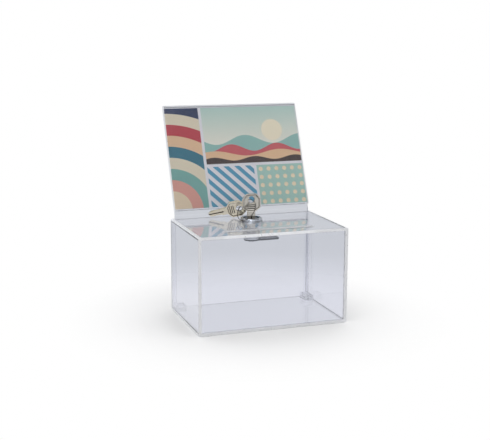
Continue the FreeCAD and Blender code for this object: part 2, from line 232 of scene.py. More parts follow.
# Spins a closed outline of (radius, height) points round the lock's axis
def lathe(name, outline):
    bare()
    bpy.ops.mesh.primitive_plane_add(size=MM)
    piece = settle(name)
    pick(piece, "VERT", anything)
    bpy.ops.mesh.merge(type="CENTER")
    spots = [Vector((radius, LOCK_Y, height)) * MM for radius, height in outline]
    bpy.ops.transform.translate(value=spots[0])
    for before, after in zip(spots, spots[1:] + spots[:1]):
        bpy.ops.mesh.extrude_vertices_move(TRANSFORM_OT_translate={"value": after - before})
    fuse()
    bpy.ops.mesh.spin(
        steps=TURN_STEPS, angle=2 * math.pi, center=(0, LOCK_Y * MM, 0), axis=(0, 0, 1)
    )
    fuse()
    bpy.ops.mesh.normals_make_consistent(inside=False)
    bare()
    return piece


def join(piece, *others):
    hold(piece)
    for other in others:
        other.select_set(True)
    bpy.ops.object.join()


def copy_of(piece, name):
    hold(piece)
    bpy.ops.object.duplicate()
    twin = bpy.context.object
    rename(twin, name)
    return twin


def place_by(piece, matrix):
    hold(piece)
    piece.matrix_world = matrix
    bpy.ops.object.transform_apply(location=True, rotation=True, scale=True)


def mirrored(piece, name):
    twin = copy_of(piece, name)
    place_by(twin, Matrix.Scale(-1, 4, Vector((1, 0, 0))))
    face_out(twin)
    return twin


# Gives the faces that pass the test another finish
def edge_finish(piece, material, test):
    piece.data.materials.append(material)
    for face in piece.data.polygons:
        if test(face.normal, face.center / MM):
            face.material_index = len(piece.data.materials) - 1


def dress(piece, material, body, slot, *nodes):
    if not piece.data.materials:
        piece.data.materials.append(material)
    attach(piece, body)
    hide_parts(*nodes)


# Material helpers

ACRYLIC_INDEX = 1.49


def linear(colour):
    channels = [int(colour[place:place + 2], 16) / 255 for place in (1, 3, 5)]
    return [c / 12.92 if c <= 0.04045 else ((c + 0.055) / 1.055) ** 2.4 for c in channels] + [1.0]


def add(tree, kind, settings=None, inputs=None):
    node = tree.nodes.new(kind)
    for key, value in (settings or {}).items():
        setattr(node, key, value)
    for key, value in (inputs or {}).items():
        if isinstance(value, bpy.types.Node):
            value = value.outputs[0]
        if isinstance(value, bpy.types.NodeSocket):
            tree.links.new(value, node.inputs[key])
        else:
            node.inputs[key].default_value = value
    return node


def begin(name, **fixed):
    material = bpy.data.materials.new(name)
    material.use_nodes = True
    tree = material.node_tree
    shader = next(node for node in tree.nodes if node.type == "BSDF_PRINCIPLED")
    for key, value in fixed.items():
        shader.inputs[key.replace("_", " ")].default_value = value
    where = add(tree, "ShaderNodeTexCoord").outputs["Object"]
    return material, tree, shader, where


# Cast acrylic sheet, flame polished: clear with a faint cool grey that deepens along the sheet,
# and soft wipe marks that only show in its gloss
def cast_acrylic(name, tone):
    material, tree, shader, where = begin(
        name, Base_Color=linear(tone), IOR=ACRYLIC_INDEX, Transmission_Weight=1.0
    )
    wipes = add(tree, "ShaderNodeTexNoise", None, {
        "Vector": where, "Scale": 1 / (14 * MM), "Detail": 4.0
    })
    gloss = add(tree, "ShaderNodeMapRange", None, {
        "Value": wipes.outputs["Fac"], "From Min": 0.35, "From Max": 0.75,
        "To Min": 0.0, "To Max": 0.05
    })
    tree.links.new(gloss.outputs["Result"], shader.inputs["Roughness"])
    depth = add(tree, "ShaderNodeVolumeAbsorption", None, {
        "Color": linear("#DCDFE6"), "Density": 6.0
    })
    tree.links.new(depth.outputs["Volume"], tree.get_output_node("ALL").inputs["Volume"])
    return material


# Sawn, scraped or glued acrylic: satin, so that it gathers light from both of its sides and reads
# as a pale line; the tool's marks, really some tenths of a millimetre apart, are drawn coarser so
# that they show
def satin_acrylic(name, tone, clear, low, high, index=ACRYLIC_INDEX, glow=0.0):
    material, tree, shader, where = begin(
        name, Base_Color=linear(tone), IOR=index, Transmission_Weight=clear
    )
    if glow:
        veil = add(tree, "ShaderNodeBsdfTranslucent", None, {"Color": linear(tone)})
        mix = add(tree, "ShaderNodeMixShader", None, {0: glow, 1: shader, 2: veil})
        tree.links.new(mix.outputs[0], tree.get_output_node("ALL").inputs["Surface"])
    scrape = add(tree, "ShaderNodeTexNoise", None, {
        "Vector": where, "Scale": 1 / (1.5 * MM), "Detail": 3.0
    })
    gloss = add(tree, "ShaderNodeMapRange", None, {
        "Value": scrape.outputs["Fac"], "From Min": 0.3, "From Max": 0.7,
        "To Min": low, "To Max": high
    })
    tree.links.new(gloss.outputs["Result"], shader.inputs["Roughness"])
    return material


# Plated or bare metal: rubbing marks in the gloss, drawn coarser than real ones so that they show,
# and a slow drift of tone
def worn_metal(name, tone, drift, roughness, mark=0.6, spread=0.12):
    material, tree, shader, where = begin(name, Metallic=1.0)
    cloud = add(tree, "ShaderNodeTexNoise", None, {
        "Vector": where, "Scale": 1 / (5 * MM), "Detail": 3.0
    })
    mix = add(tree, "ShaderNodeMix", {"data_type": "RGBA"}, {
        "Factor": cloud.outputs["Fac"], "A": linear(tone), "B": linear(drift)
    })
    tree.links.new(mix.outputs["Result"], shader.inputs["Base Color"])
    marks = add(tree, "ShaderNodeTexNoise", None, {
        "Vector": where, "Scale": 1 / (mark * MM), "Detail": 4.0
    })
    gloss = add(tree, "ShaderNodeMapRange", None, {
        "Value": marks.outputs["Fac"], "From Min": 0.3, "From Max": 0.7,
        "To Min": roughness, "To Max": roughness + spread
    })
    tree.links.new(gloss.outputs["Result"], shader.inputs["Roughness"])
    bump = add(tree, "ShaderNodeBump", None, {
        "Height": marks.outputs["Fac"], "Strength": 0.08, "Distance": 0.05 * MM
    })
    tree.links.new(bump.outputs["Normal"], shader.inputs["Normal"])
    return material


# Coated card, printed: four panels of flat shapes that run to its edges, with plain gaps between
# them;
# matt ink on a faint paper tooth that is drawn coarser than real so that it shows; places are in
# millimetres from the middle
def printed_card(centre):
    material, tree, shader, where = begin("printed_card", Roughness=0.42)
    local = add(tree, "ShaderNodeMapping", {"vector_type": "TEXTURE"}, {
        "Vector": where, "Location": centre, "Rotation": (-LEAN, 0, 0), "Scale": (MM, MM, MM)
    }).outputs["Vector"]
    axes = add(tree, "ShaderNodeSeparateXYZ", None, {0: local})
    across, up = axes.outputs["X"], axes.outputs["Z"]

    def panel(left, right, low, high):
        wide = add(tree, "ShaderNodeMath", {"operation": "COMPARE"}, {
            0: across, 1: (left + right) / 2, 2: (right - left) / 2
        })
        tall = add(tree, "ShaderNodeMath", {"operation": "COMPARE"}, {
            0: up, 1: (low + high) / 2, 2: (high - low) / 2
        })
        return add(tree, "ShaderNodeMath", {"operation": "MULTIPLY"}, {0: wide, 1: tall})

    def disc(x, z, radius):
        gap = add(tree, "ShaderNodeVectorMath", {"operation": "DISTANCE"}, {
            0: local, 1: (x, 0, z)
        })
        return add(tree, "ShaderNodeMath", {"operation": "LESS_THAN"}, {
            0: gap.outputs["Value"], 1: radius
        })

    def hill(level, height, length, start):
        turn = add(tree, "ShaderNodeMath", {"operation": "MULTIPLY_ADD"}, {
            0: across, 1: 2 * math.pi / length, 2: start
        })
        swing = add(tree, "ShaderNodeMath", {"operation": "SINE"}, {0: turn})
        crest = add(tree, "ShaderNodeMath", {"operation": "MULTIPLY_ADD"}, {
            0: swing, 1: height, 2: level
        })
        return add(tree, "ShaderNodeMath", {"operation": "LESS_THAN"}, {0: up, 1: crest})

    def slanted_bars(pitch):
        slant = add(tree, "ShaderNodeMath", {"operation": "ADD"}, {0: across, 1: up})
        fold = add(tree, "ShaderNodeMath", {"operation": "PINGPONG"}, {0: slant, 1: pitch / 2})
        return add(tree, "ShaderNodeMath", {"operation": "LESS_THAN"}, {0: fold, 1: pitch / 4})

    def dots(x, z, pitch, radius):
        cell = (pitch / 2, pitch / 2, pitch / 2)
        shifted = add(tree, "ShaderNodeVectorMath", {"operation": "SUBTRACT"}, {
            0: local, 1: (x, 0, z)
        })
        wrapped = add(tree, "ShaderNodeVectorMath", {"operation": "WRAP"}, {
            0: shifted, 1: cell, 2: [-half for half in cell]
        })
        gap = add(tree, "ShaderNodeVectorMath", {"operation": "LENGTH"}, {0: wrapped})
        return add(tree, "ShaderNodeMath", {"operation": "LESS_THAN"}, {
            0: gap.outputs["Value"], 1: radius
        })

    def ink(under, colour, area, shape=None):
        if shape:
            area = add(tree, "ShaderNodeMath", {"operation": "MULTIPLY"}, {0: area, 1: shape})
        return add(tree, "ShaderNodeMix", {"data_type": "RGBA"}, {
            "Factor": area, "A": under, "B": colour
        }).outputs["Result"]

    sheet = linear("#F1F1F8")
    left, right, foot, head = -75, 75, -56, 56
    arcs = panel(left, -37, foot, head)
    result = ink(sheet, linear("#2B3B66"), arcs)
    rings = (
        (104, "#EDE3CC"), (92, "#C93C4C"), (80, "#F0CBA6"), (68, "#2E7D96"),
        (56, "#EDE3CC"), (44, "#7FB9B4"), (32, "#E7A79B"), (20, "#F0DCC0"),
    )
    for radius, colour in rings:
        result = ink(result, linear(colour), arcs, disc(left, -55, radius))
    view = panel(-34, right, -8, head)
    fade = add(tree, "ShaderNodeMapRange", None, {
        "Value": up, "From Min": 8.0, "From Max": 52.0, "To Min": 0.0, "To Max": 1.0
    })
    result = ink(result, ink(linear("#FBF6EA"), linear("#C6E2DB"), fade), view)
    result = ink(result, linear("#FFF6DD"), view, disc(44, 28, radius=12.0))
    hills = (
        (18, 5, 64, 0.4, "#9CCBC6"), (9, 4, 52, 2.1, "#D9626B"),
        (3, 3, 74, 3.6, "#F3CBA3"), (-3, 2, 46, 5.0, "#4A3634"),
    )
    for level, height, length, start, colour in hills:
        result = ink(result, linear(colour), view, hill(level, height, length, start))
    result = ink(result, linear("#55A6CB"), panel(-34, 18, foot, -11), slanted_bars(pitch=12.0))
    spots = panel(21, right, foot, -11)
    result = ink(result, linear("#B2D8D0"), spots)
    result = ink(result, linear("#FBEBCB"), spots, dots(25.5, -15.5, pitch=9.0, radius=2.4))
    front_side = add(tree, "ShaderNodeMath", {"operation": "LESS_THAN"}, {
        0: axes.outputs["Y"], 1: 0.0
    })
    result = ink(sheet, result, front_side)
    tree.links.new(result, shader.inputs["Base Color"])
    tooth = add(tree, "ShaderNodeTexNoise", None, {
        "Vector": where, "Scale": 1 / (0.4 * MM), "Detail": 2.0
    })
    bump = add(tree, "ShaderNodeBump", None, {
        "Height": tooth.outputs["Fac"], "Strength": 0.1, "Distance": 0.02 * MM
    })
    tree.links.new(bump.outputs["Normal"], shader.inputs["Normal"])
    return material


# Acrylic pieces


def sleeve_sheet():
    piece = slab("sleeve_sheet", BOX_LOW, BOX_HIGH)
    round_edges(piece, runs_along(Y), OUTER_CORNER, 8)
    hollow = slab("hollow_cut", (-WALL_X, -PAST_BOX, SHEET), (WALL_X, PAST_BOX, LID_UNDER))
    round_edges(hollow, runs_along(Y), INNER_CORNER, 4)
    low, high = LID_UNDER - SHEET, LID_TOP + SHEET
    half_slot = SLOT_WIDTH / 2
    slot = slab(
        "slot_cut", (-SLOT_HALF, SLOT_Y - half_slot, low), (SLOT_HALF, SLOT_Y + half_slot, high)
    )
    just_short = 0.01
    round_edges(slot, runs_along(Z), half_slot - just_short, 12)
    hole = drum("hole_cut", BARREL_RADIUS + LOCK_HOLE_GAP, low, high)
    for side in (-1, 1):
        trim(hole, (0, LOCK_Y + side * (BARREL_FLAT + LOCK_HOLE_GAP), 0), (0, side, 0))
    notch_foot = LID_UNDER - INNER_CORNER
    notch = slab(
        "notch_cut", (-NOTCH_HALF, LID_REAR, notch_foot), (NOTCH_HALF, PAST_BOX, high)
    )
    carve(piece, hollow, slot, hole, notch)
    for place in ((-WALL_X, 0, 0), (WALL_X, 0, 0), (0, 0, SHEET)):
        trim(piece, place, Vector(place).normalized(), seam_only=True)
    soften(piece, POLISHED_EDGE)
    return piece


# The sleeve's outer corners with the tops and feet of its walls, which are eased by hand
def eased_corner(normal, spot):
    curved = min(abs(normal.x), abs(normal.z)) > 0.1
    wall_top = normal.z > 0.9
    wall_foot = abs(normal.x) > 0.9 and spot.z < SHEET
    return abs(spot.x) > WALL_X and (curved or wall_top or wall_foot)


# The sleeve's front edges and the cuts through its lid
def sawn_edge(normal, spot):
    in_lid = spot.z > LID_UNDER - 0.1 and abs(spot.x) < SLOT_HALF + 1
    return normal.y < -EDGE_ON or (abs(normal.z) < 0.95 and in_lid)


def front_sheet():
    edge = WALL_X - GLUE_LINE
    low = (-edge, FRONT_FACE, SHEET + GLUE_LINE)
    high = (edge, FRONT_FACE + SHEET, LID_UNDER - GLUE_LINE)
    piece = slab("front_sheet", low, high)
    round_edges(piece, runs_along(Y), FRONT_CORNER, 6)
    soften(piece, FINE_EDGE)
    return piece


# One sheet along the rear wall, back over the bend and down again in front of the card
def rear_sheet():
    tangent = BEND_LINE_RADIUS * math.tan(LEAN / 2)
    fold_depth = FOLD_LINE_RADIUS + PANEL_SHEET / 2
    wall_top = BEND_Z - tangent
    bend_steps, fold_steps, cut_half, cut_near = 8, 14, 10.0, 40.0
    bare()
    middle = (0, PANEL_Y * MM, (PANEL_FOOT + wall_top) / 2 * MM)
    bpy.ops.mesh.primitive_plane_add(size=MM, location=middle, rotation=(math.pi / 2, 0, 0))
    bpy.context.object.scale = (2 * PANEL_HALF, wall_top - PANEL_FOOT, 1)
    piece = settle("rear_sheet")
    just_below = (wall_top - 0.01) * MM
    pick(piece, "EDGE", lambda edge: min(vert.co.z for vert in edge.verts) > just_below)
    bend_centre = Vector((0, PANEL_Y + BEND_LINE_RADIUS, wall_top)) * MM
    bpy.ops.mesh.spin(steps=bend_steps, angle=LEAN, center=bend_centre, axis=(1, 0, 0))
    push(*(UP_HEADER * (HEADER_LENGTH - fold_depth - tangent)))
    fold_start = HEADER_FOOT + UP_HEADER * (HEADER_LENGTH - fold_depth)
    fold_centre = (fold_start + OUT_OF_HEADER * FOLD_LINE_RADIUS) * MM
    bpy.ops.mesh.spin(steps=fold_steps, angle=-math.pi, center=fold_centre, axis=(1, 0, 0))
    push(*(UP_HEADER * -(HEADER_LENGTH - fold_depth - FLAP_FOOT)))
    fuse()
    bpy.ops.mesh.normals_make_consistent(inside=False)
    change(piece, "SOLIDIFY", thickness=PANEL_SHEET * MM, offset=0.0, use_even_offset=True)
    carve(piece, slab("window_cut", CAM_WINDOW_LOW, CAM_WINDOW_HIGH))
    for side in (-1, 1):
        corner = (side * (PANEL_HALF - PANEL_CORNER / 2), 0, PANEL_FOOT + PANEL_CORNER / 2)
        cut = slab("corner_cut", (-cut_half, cut_near, -PANEL_CORNER), (cut_half, PAST_BOX, 0))
        shift = Matrix.Translation(Vector(corner) * MM)
        place_by(cut, shift @ Matrix.Rotation(math.radians(side * -45), 4, "Y"))
        carve(piece, cut)
    soften(piece, POLISHED_EDGE)
    return piece


# The outside of the header's top fold, which the bending leaves a little dull
def fold_outside(normal, spot):
    reach = (spot - HEADER_FOOT).dot(UP_HEADER)
    return normal.dot(UP_HEADER) > 0.2 and reach > HEADER_LENGTH - 3.0


# Both sides of the flap in front of the card
def flap_side(normal, spot):
    ahead = (spot - HEADER_FOOT).dot(OUT_OF_HEADER)
    return abs(normal.dot(OUT_OF_HEADER)) > 0.9 and ahead > POCKET_GAP and spot.z > BEND_Z


# The header's upright edges
def header_edge(normal, spot):
    return abs(normal.x) > EDGE_ON and spot.z > BEND_Z


# The rear wall's upright edges, its foot and the sides and top of its window
def wall_edge(normal, spot):
    return max(abs(normal.x), -normal.z) > EDGE_ON and spot.z < BEND_Z


# A strip or card on the header, given by its reach up the leaning sheet and out from its front face
def header_strip(name, half_width, low, high, near, far):
    forward = (near + far + PANEL_SHEET) / 2
    along = (low + high) / 2
    y = PANEL_Y + along * math.sin(LEAN) - forward * math.cos(LEAN)
    z = BEND_Z + along * math.cos(LEAN) + forward * math.sin(LEAN)
    depth, height = (far - near) / 2, (high - low) / 2
    corner_low = (-half_width, y - depth, z - height)
    corner_high = (half_width, y + depth, z + height)
    return slab(name, corner_low, corner_high, (-LEAN, 0, 0)), Vector((0, y, z)) * MM


def ledge_strip():
    piece, _ = header_strip(
        "ledge_strip", LEDGE_HALF, FLAP_FOOT, FLAP_FOOT + LEDGE_HEIGHT,
        GLUE_LINE, POCKET_GAP - GLUE_LINE
    )
    soften(piece, LEDGE_EDGE)
    return piece


# A strip or block on the right wall; its corners at the wall are cut off to clear the sleeve's
# inner radius
def wall_strip(name, width, near, far, low, high, eased_foot):
    wall = WALL_X - GLUE_LINE
    piece = slab(name, (wall - width, near, low + GLUE_LINE), (wall, far, high - GLUE_LINE))

    def outer_corner(edge):
        middle = (edge.verts[0].co + edge.verts[1].co) / 2 / MM
        at_end = eased_foot or middle.z > (low + high) / 2
        return runs_along(Y)(edge) and middle.x > wall - 0.1 and at_end

    round_edges(piece, outer_corner, STRIP_CORNER, 1)
    return piece


# Metal pieces


# Chromed flange with a rounded rim and a sunk dish over a threaded barrel with two flats
def lock_rim():
    bore, seat, seat_foot = 6.05, 7.05, 98.95
    rim, dish_floor = 11.25, 99.75
    flange = lathe("lock_rim", [
        (bore, LID_TOP), (rim, LID_TOP), (rim, 99.4), (11.1, 99.9), (10.8, 100.2),
        (10.4, 100.36), (10.0, FLANGE_TOP), (8.9, 100.36), (8.5, 100.15),
        (DISH_RADIUS, dish_floor), (seat, dish_floor), (seat, seat_foot), (bore, seat_foot),
    ])
    root, crest, pitch = 8.55, BARREL_RADIUS, 1.0
    thread_top, barrel_top, run_in = 97.0, 98.1, 0.4
    outline = [(bore, barrel_top), (bore, BARREL_FOOT), (root - run_in, BARREL_FOOT)]
    height = BARREL_FOOT + pitch / 2
    while height < thread_top:
        outline += [(root, height), (crest, height + pitch / 2)]
        height += pitch
    outline += [(root, height), (root, barrel_top)]
    barrel = lathe("barrel", outline)
    for side in (-1, 1):
        trim(barrel, (0, LOCK_Y + side * BARREL_FLAT, 0), (0, side, 0))
    half, inner, lap = 1.2, 6.6, 0.2
    lug_low = (-half, LOCK_Y + inner, CAM_TOP + lap)
    lug = slab("lug", lug_low, (half, LOCK_Y + BARREL_FLAT, BARREL_FOOT + lap))
    soften(flange, RIM_EDGE)
    join(flange, barrel, lug)
    smooth(flange, angle=35)
    return flange


# The flange's dish round the plug, painted near black as shade in the sunk lock face
def dish_inside(normal, spot):
    from_axis, margin = math.hypot(spot.x, spot.y - LOCK_Y), 0.2
    return from_axis < DISH_RADIUS + margin and LID_UNDER < spot.z < FLANGE_TOP - margin


def hex_nut():
    low, high, corner, across = 90.2, 94.2, 13.856, 12.0
    bevel, bore = 0.9, 9.15
    piece = drum("hex_nut", corner, low, high, sides=6)
    cap = lathe("cap", [
        (0, low), (across, low), (corner, low + bevel),
        (corner, high - bevel), (across, high), (0, high),
    ])
    carve(piece, cap, way="INTERSECT")
    carve(piece, drum("nut_bore", bore, low - PAST_LOCK, high + PAST_LOCK))
    soften(piece, FINE_EDGE)
    return piece


def cam_arm():
    tip_corner, hub_radius, half = 3.0, 8.0, 3.05
    low = (0, LOCK_Y - CAM_HALF, CAM_FOOT)
    piece = slab("cam_arm", low, (CAM_REACH, LOCK_Y + CAM_HALF, CAM_TOP))

    def at_tip(edge):
        return runs_along(Z)(edge) and edge.verts[0].co.x > CAM_REACH / 2 * MM

    round_edges(piece, at_tip, tip_corner, 6)
    carve(piece, drum("hub", hub_radius, CAM_FOOT, CAM_TOP), way="UNION")
    tail_low = (-half, LOCK_Y - half, CAM_FOOT - PAST_LOCK)
    tail_high = (half, LOCK_Y + half, CAM_TOP + PAST_LOCK)
    carve(piece, slab("tail_cut", tail_low, tail_high))
    soften(piece, EASED_EDGE)
    return piece


# Key standing upright on its blade, drawn out of the neck: bow above, blade below
def key_plate(name):
    half_neck = NECK_WIDTH / 2
    piece = slab(name, (-half_neck, -KEY_HALF, 0), (half_neck, KEY_HALF, NECK_TOP))

    # Draws the picked end out to another height and width
    def draw_out(start, end, before, after):
        push(z=end - start)
        bpy.ops.transform.resize(value=(after / before, 1, 1), center_override=(0, 0, end * MM))

    pick(piece, "FACE", faces_towards((0, 0, 1)))
    draw_out(NECK_TOP, BOW_LOW, NECK_WIDTH, BOW_WIDTH)
    push(z=BOW_HIGH - BOW_LOW)
    draw_out(BOW_HIGH, CROWN, BOW_WIDTH, CROWN_WIDTH)
    pick(piece, "FACE", faces_towards((0, 0, -1)))
    draw_out(0, SHOULDER, NECK_WIDTH, BLADE_WIDTH)
    push(z=BLADE_LOW - SHOULDER)
    draw_out(BLADE_LOW, TIP, BLADE_WIDTH, TIP_WIDTH)

    border, slope, sunk, field_low = 1.2, 0.6, 0.45, 6.0

    def bow_side(face):
        return abs(face.normal.y) > FACING and face.calc_center_median().z > field_low * MM

    pick(piece, "FACE", bow_side)
    bpy.ops.mesh.inset(thickness=border * MM, depth=0.0)
    bpy.ops.mesh.inset(thickness=slope * MM, depth=-sunk * MM)
    bare()

    corner_radius, corner_low, full_thickness = 1.2, 8.5, 1.9

    def bow_corner(edge):
        outer = edge.calc_length() > full_thickness * MM
        return runs_along(Y)(edge) and edge.verts[0].co.z > corner_low * MM and outer

    round_edges(piece, bow_corner, corner_radius, 4)
    eye = drum("eye", KEY_HOLE / 2, -5, 5, place=(0, 0), sides=40)
    shift = Matrix.Translation((0, 0, KEY_HOLE_UP * MM))
    place_by(eye, shift @ Matrix.Rotation(math.pi / 2, 4, "X"))
    carve(piece, eye)

    half, deep, low, high = 0.7, 0.45, TIP - PAST_LOCK, 2.0
    for side in (-1, 1):
        face = side * KEY_HALF
        carve(piece, slab("groove", (-half, face - deep, low), (half, face + deep, high)))

    cut, first_cut, spacing, cut_step = 1.2, -3.8, 2.6, 0.4
    for step in range(4):
        side = 1 if step < 2 else -1
        depth = cut_step * (1 + step % 2)
        notch = slab("notch", (-cut, -3, -cut), (cut, 3, cut))
        reach = BLADE_WIDTH / 2 - depth + cut * math.sqrt(2)
        shift = Matrix.Translation(Vector((side * reach, 0, first_cut - spacing * step)) * MM)
        place_by(notch, shift @ Matrix.Rotation(math.pi / 4, 4, "Y"))
        carve(piece, notch)

    reach, half, out, first_line, spacing = 5.0, 0.35, 0.65, 9.0, 1.9
    for row in range(3):
        for side in (-1, 1):
            line = slab("line", (-reach, -half, -half), (reach, half, half))
            shift = Matrix.Translation(Vector((0, side * out, first_line + spacing * row)) * MM)
            place_by(line, shift @ Matrix.Rotation(math.pi / 4, 4, "X"))
            carve(piece, line)
    soften(piece, FINE_EDGE)
    return piece


# Where shade is painted on a key: the slope round its sunk field, its pressed lines and eye, and
# the blade's grooves
def key_shaded_recess(normal, spot):
    border, field_low, field_high, tilted = 0.9, 6.0, 23.5, 0.93
    groove_top, groove_half, skin = 2.1, 0.75, 0.02
    neck, bow, crown = NECK_WIDTH / 2, BOW_WIDTH / 2, CROWN_WIDTH / 2
    widening = neck + (bow - neck) * (spot.z - NECK_TOP) / (BOW_LOW - NECK_TOP)
    narrowing = bow + (crown - bow) * (spot.z - BOW_HIGH) / (CROWN - BOW_HIGH)
    half_field = min(bow, widening, narrowing) - border
    in_field = field_low < spot.z < field_high and abs(spot.x) < half_field
    in_blade = spot.z < groove_top and abs(spot.x) < groove_half
    return (in_field and abs(normal.y) < tilted) or (in_blade and abs(spot.y) < KEY_HALF - skin)


# Split ring: two turns of wire wound side by side
def split_ring():
    wire_radius, turns, closeness = 0.275, 2, 0.98
    bare()
    bpy.ops.mesh.primitive_circle_add(
        vertices=10, radius=wire_radius * MM,
        location=(RING_RADIUS * MM, 0, -wire_radius * MM), rotation=(math.pi / 2, 0, 0)
    )
    piece = settle("split_ring")
    change(
        piece, "SCREW", axis="Z", angle=2 * math.pi, iterations=turns,
        screw_offset=2 * wire_radius * MM * closeness,
        steps=TURN_STEPS, render_steps=TURN_STEPS, use_merge_vertices=False,
    )
    pick(piece, "EDGE", lambda edge: edge.is_boundary)
    bpy.ops.mesh.edge_face_add()
    face_out(piece)
    place = Matrix.Translation(Vector(RING_CENTRE) * MM) @ Matrix.Rotation(RING_TURN, 4, "Z")
    place_by(piece, place @ Matrix.Rotation(math.pi / 2 + RING_TILT, 4, "Y"))
    smooth(piece)
    return piece


# Put the object together

# Cast acrylic sheet: clear and faintly grey
acrylic = cast_acrylic("cast_acrylic", "#FAFAFC")
# Polished acrylic over the card: clearer still, so that the print reads through it
polished = cast_acrylic("polished_acrylic", "#FFFFFF")
# Saw-cut acrylic: a pale satin line
sawn = satin_acrylic("sawn_acrylic", "#F6F7FA", clear=0.4, low=0.25, high=0.5)
# Ground acrylic: satin that glows with the light from behind
ground = satin_acrylic("ground_acrylic", "#F6F7FA", clear=0.35, low=0.25, high=0.5, glow=0.4)
# Solvent-welded joint under the lid: its grey is painted shade in the gap between two sheets
joint_shade = satin_acrylic("painted_joint_shade_acrylic", "#8E9197", clear=0.5, low=0.25, high=0.5)
# Acrylic glued to acrylic: hardly bends the light, so that small strips hardly show
glued = satin_acrylic("glued_acrylic", "#FAFAFC", clear=1.0, low=0.1, high=0.25, index=1.15)
# Acrylic corner eased by hand: a soft pale band
rounded = satin_acrylic("eased_corner_acrylic", "#F4F6FA", clear=0.3, low=0.2, high=0.4)
# Chrome plate on a cast flange: sharp, cool mirror
chrome = worn_metal("chrome_plate", "#DADCE0", "#C8CBD1", 0.05, spread=0.06)
# Zinc-plated steel: bright and soft grey
zinc = worn_metal("zinc_plated_steel", "#ECEDEF", "#DCDEE1", 0.28, mark=1.2)
# Blued steel, stamped: dark grey with a dull gloss
steel = worn_metal("blued_cam_steel", "#7C7F84", "#5E6166", 0.22, mark=0.8)
# Nickel plate on a stamped key: bright and warm
nickel = worn_metal("nickel_plated_key", "#E6E0D4", "#CDC6B8", 0.1, mark=0.5)
# Bare nickel silver, stamped: yellower and a little duller
nickel_silver = worn_metal("nickel_silver_key", "#EEE6D0", "#DACFB2", 0.13, mark=0.5)
# Painted shade in what is pressed into a key: dark brown
recess_shade = worn_metal("painted_recess_shade", "#443E34", "#302B24", 0.3, mark=0.5)
# Painted shade for the sunk lock face, on the flange's dish and the plug: nearly black, soft gloss
lock_face_shade = worn_metal("painted_shade_lock_face", "#1F2022", "#161718", 0.18, mark=0.5)
# Drawn spring wire: mid grey with a thin highlight
wire = worn_metal("spring_wire", "#857F76", "#67625A", 0.2, mark=0.4)
# Stamped brass: dull yellow
brass = worn_metal("stamped_brass", "#C4A15C", "#A98545", 0.28, mark=0.8)

CLEAR = "clear_acrylic"
sleeve = sleeve_sheet()
dress(sleeve, acrylic, "box", CLEAR, "sleeve")
edge_finish(sleeve, rounded, eased_corner)
edge_finish(sleeve, sawn, sawn_edge)
edge_finish(sleeve, ground, lambda normal, spot: normal.y > EDGE_ON)
front = front_sheet()
dress(front, acrylic, "box", CLEAR, "front_panel")
# The front sheet's top edge under the lid: a grey line of painted shade in the joint
edge_finish(front, joint_shade, lambda normal, spot: normal.z > EDGE_ON)
edge_finish(front, sawn, lambda normal, spot: abs(normal.x) > EDGE_ON)
rear = rear_sheet()
dress(rear, acrylic, "rear_panel", CLEAR, "rear_panel")
edge_finish(rear, polished, flap_side)
edge_finish(rear, ground, fold_outside)
edge_finish(rear, sawn, header_edge)
edge_finish(rear, glued, wall_edge)
dress(ledge_strip(), acrylic, "rear_panel", CLEAR, "card_ledge")

# Piece, node, width from the wall, front, rear, foot, top, and whether its foot is eased as well
strips = (
    ("rear_guide_strip", "rear_guide", 4.0, 48.5, 50.0, SHEET, LID_UNDER, True),
    ("front_guide_strip", "front_guide", 3.0, 42.9, 45.9, SEAT_TOP, LID_UNDER, False),
    ("seat", "seat_block", 10.0, 29.9, 45.9, SHEET, SEAT_TOP, True),
)
for stem, node, *sizes in strips:
    right = wall_strip(stem + "_right", *sizes)
    left = mirrored(right, stem + "_left")
    for piece, side in ((right, "_right"), (left, "_left")):
        soften(piece, EASED_EDGE)
        dress(piece, glued, "box", CLEAR, node + side)

card_near = (POCKET_GAP - CARD_SHEET) / 2
card, card_centre = header_strip(
    "card", CARD_HALF, CARD_FOOT, CARD_TOP, card_near, card_near + CARD_SHEET
)
soften(card, CARD_EDGE)
dress(card, printed_card(card_centre), "card", "printed_card", "info_card")

rim = lock_rim()
dress(rim, chrome, "box", "chrome_plate", "lock_housing")
# The flange's dish: painted shade
edge_finish(rim, lock_face_shade, dish_inside)
edge_finish(rim, zinc, lambda normal, spot: spot.z < LID_UNDER)
dress(hex_nut(), zinc, "box", "zinc_steel", "lock_nut")
dress(cam_arm(), steel, "lock_plug", "zinc_steel", "cam")

fitted = key_plate("fitted_key")
fitted.data.materials.append(nickel)
# The key's pressed lines, eye, field slope and grooves: painted shade
edge_finish(fitted, recess_shade, key_shaded_recess)
spare = copy_of(fitted, "spare_key_plate")
spare.data.materials[0] = nickel_silver
place_by(fitted, Matrix.Translation(Vector((0, LOCK_Y, KEY_SEAT)) * MM))
heading = Matrix.Rotation(math.radians(SPARE_HEADING + 180), 4, "Z")
lean = Matrix.Rotation(math.radians(SPARE_LEAN), 4, "X")
dip = Matrix.Rotation(math.radians(90 - SPARE_DIP), 4, "Y")
to_ring = Matrix.Translation(Vector(SPARE_HOLE) * MM)
eye_to_zero = Matrix.Translation((0, 0, -KEY_HOLE_UP * MM))
place_by(spare, to_ring @ (heading @ lean @ dip) @ eye_to_zero)
dress(fitted, nickel, "key", "nickel_plate", "key")
dress(spare, nickel_silver, "spare_key", "nickel_plate", "spare_key")
dress(split_ring(), wire, "key_ring", "spring_steel", "key_ring")

# Nodes that keep the construction model's shape
kept = {
    "lock_washer": zinc, "turn_stop": zinc, "cam_washer": zinc, "cam_screw": zinc,
    # The plug: painted near black as shade in the sunk lock face
    "lock_plug": lock_face_shade, "wafer_tumblers": brass, "wafer_springs": wire,
}
for node, material in kept.items():
    node_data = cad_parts[node].data
    node_data.materials.clear()
    node_data.materials.append(material)


# Studio, in metres

WHITE = (1, 1, 1, 1)
BACKDROP = linear("#D0D3D8")
FLOOR_SIZE = 8.0
LAMP_TARGET = (0, 0, 0.1)


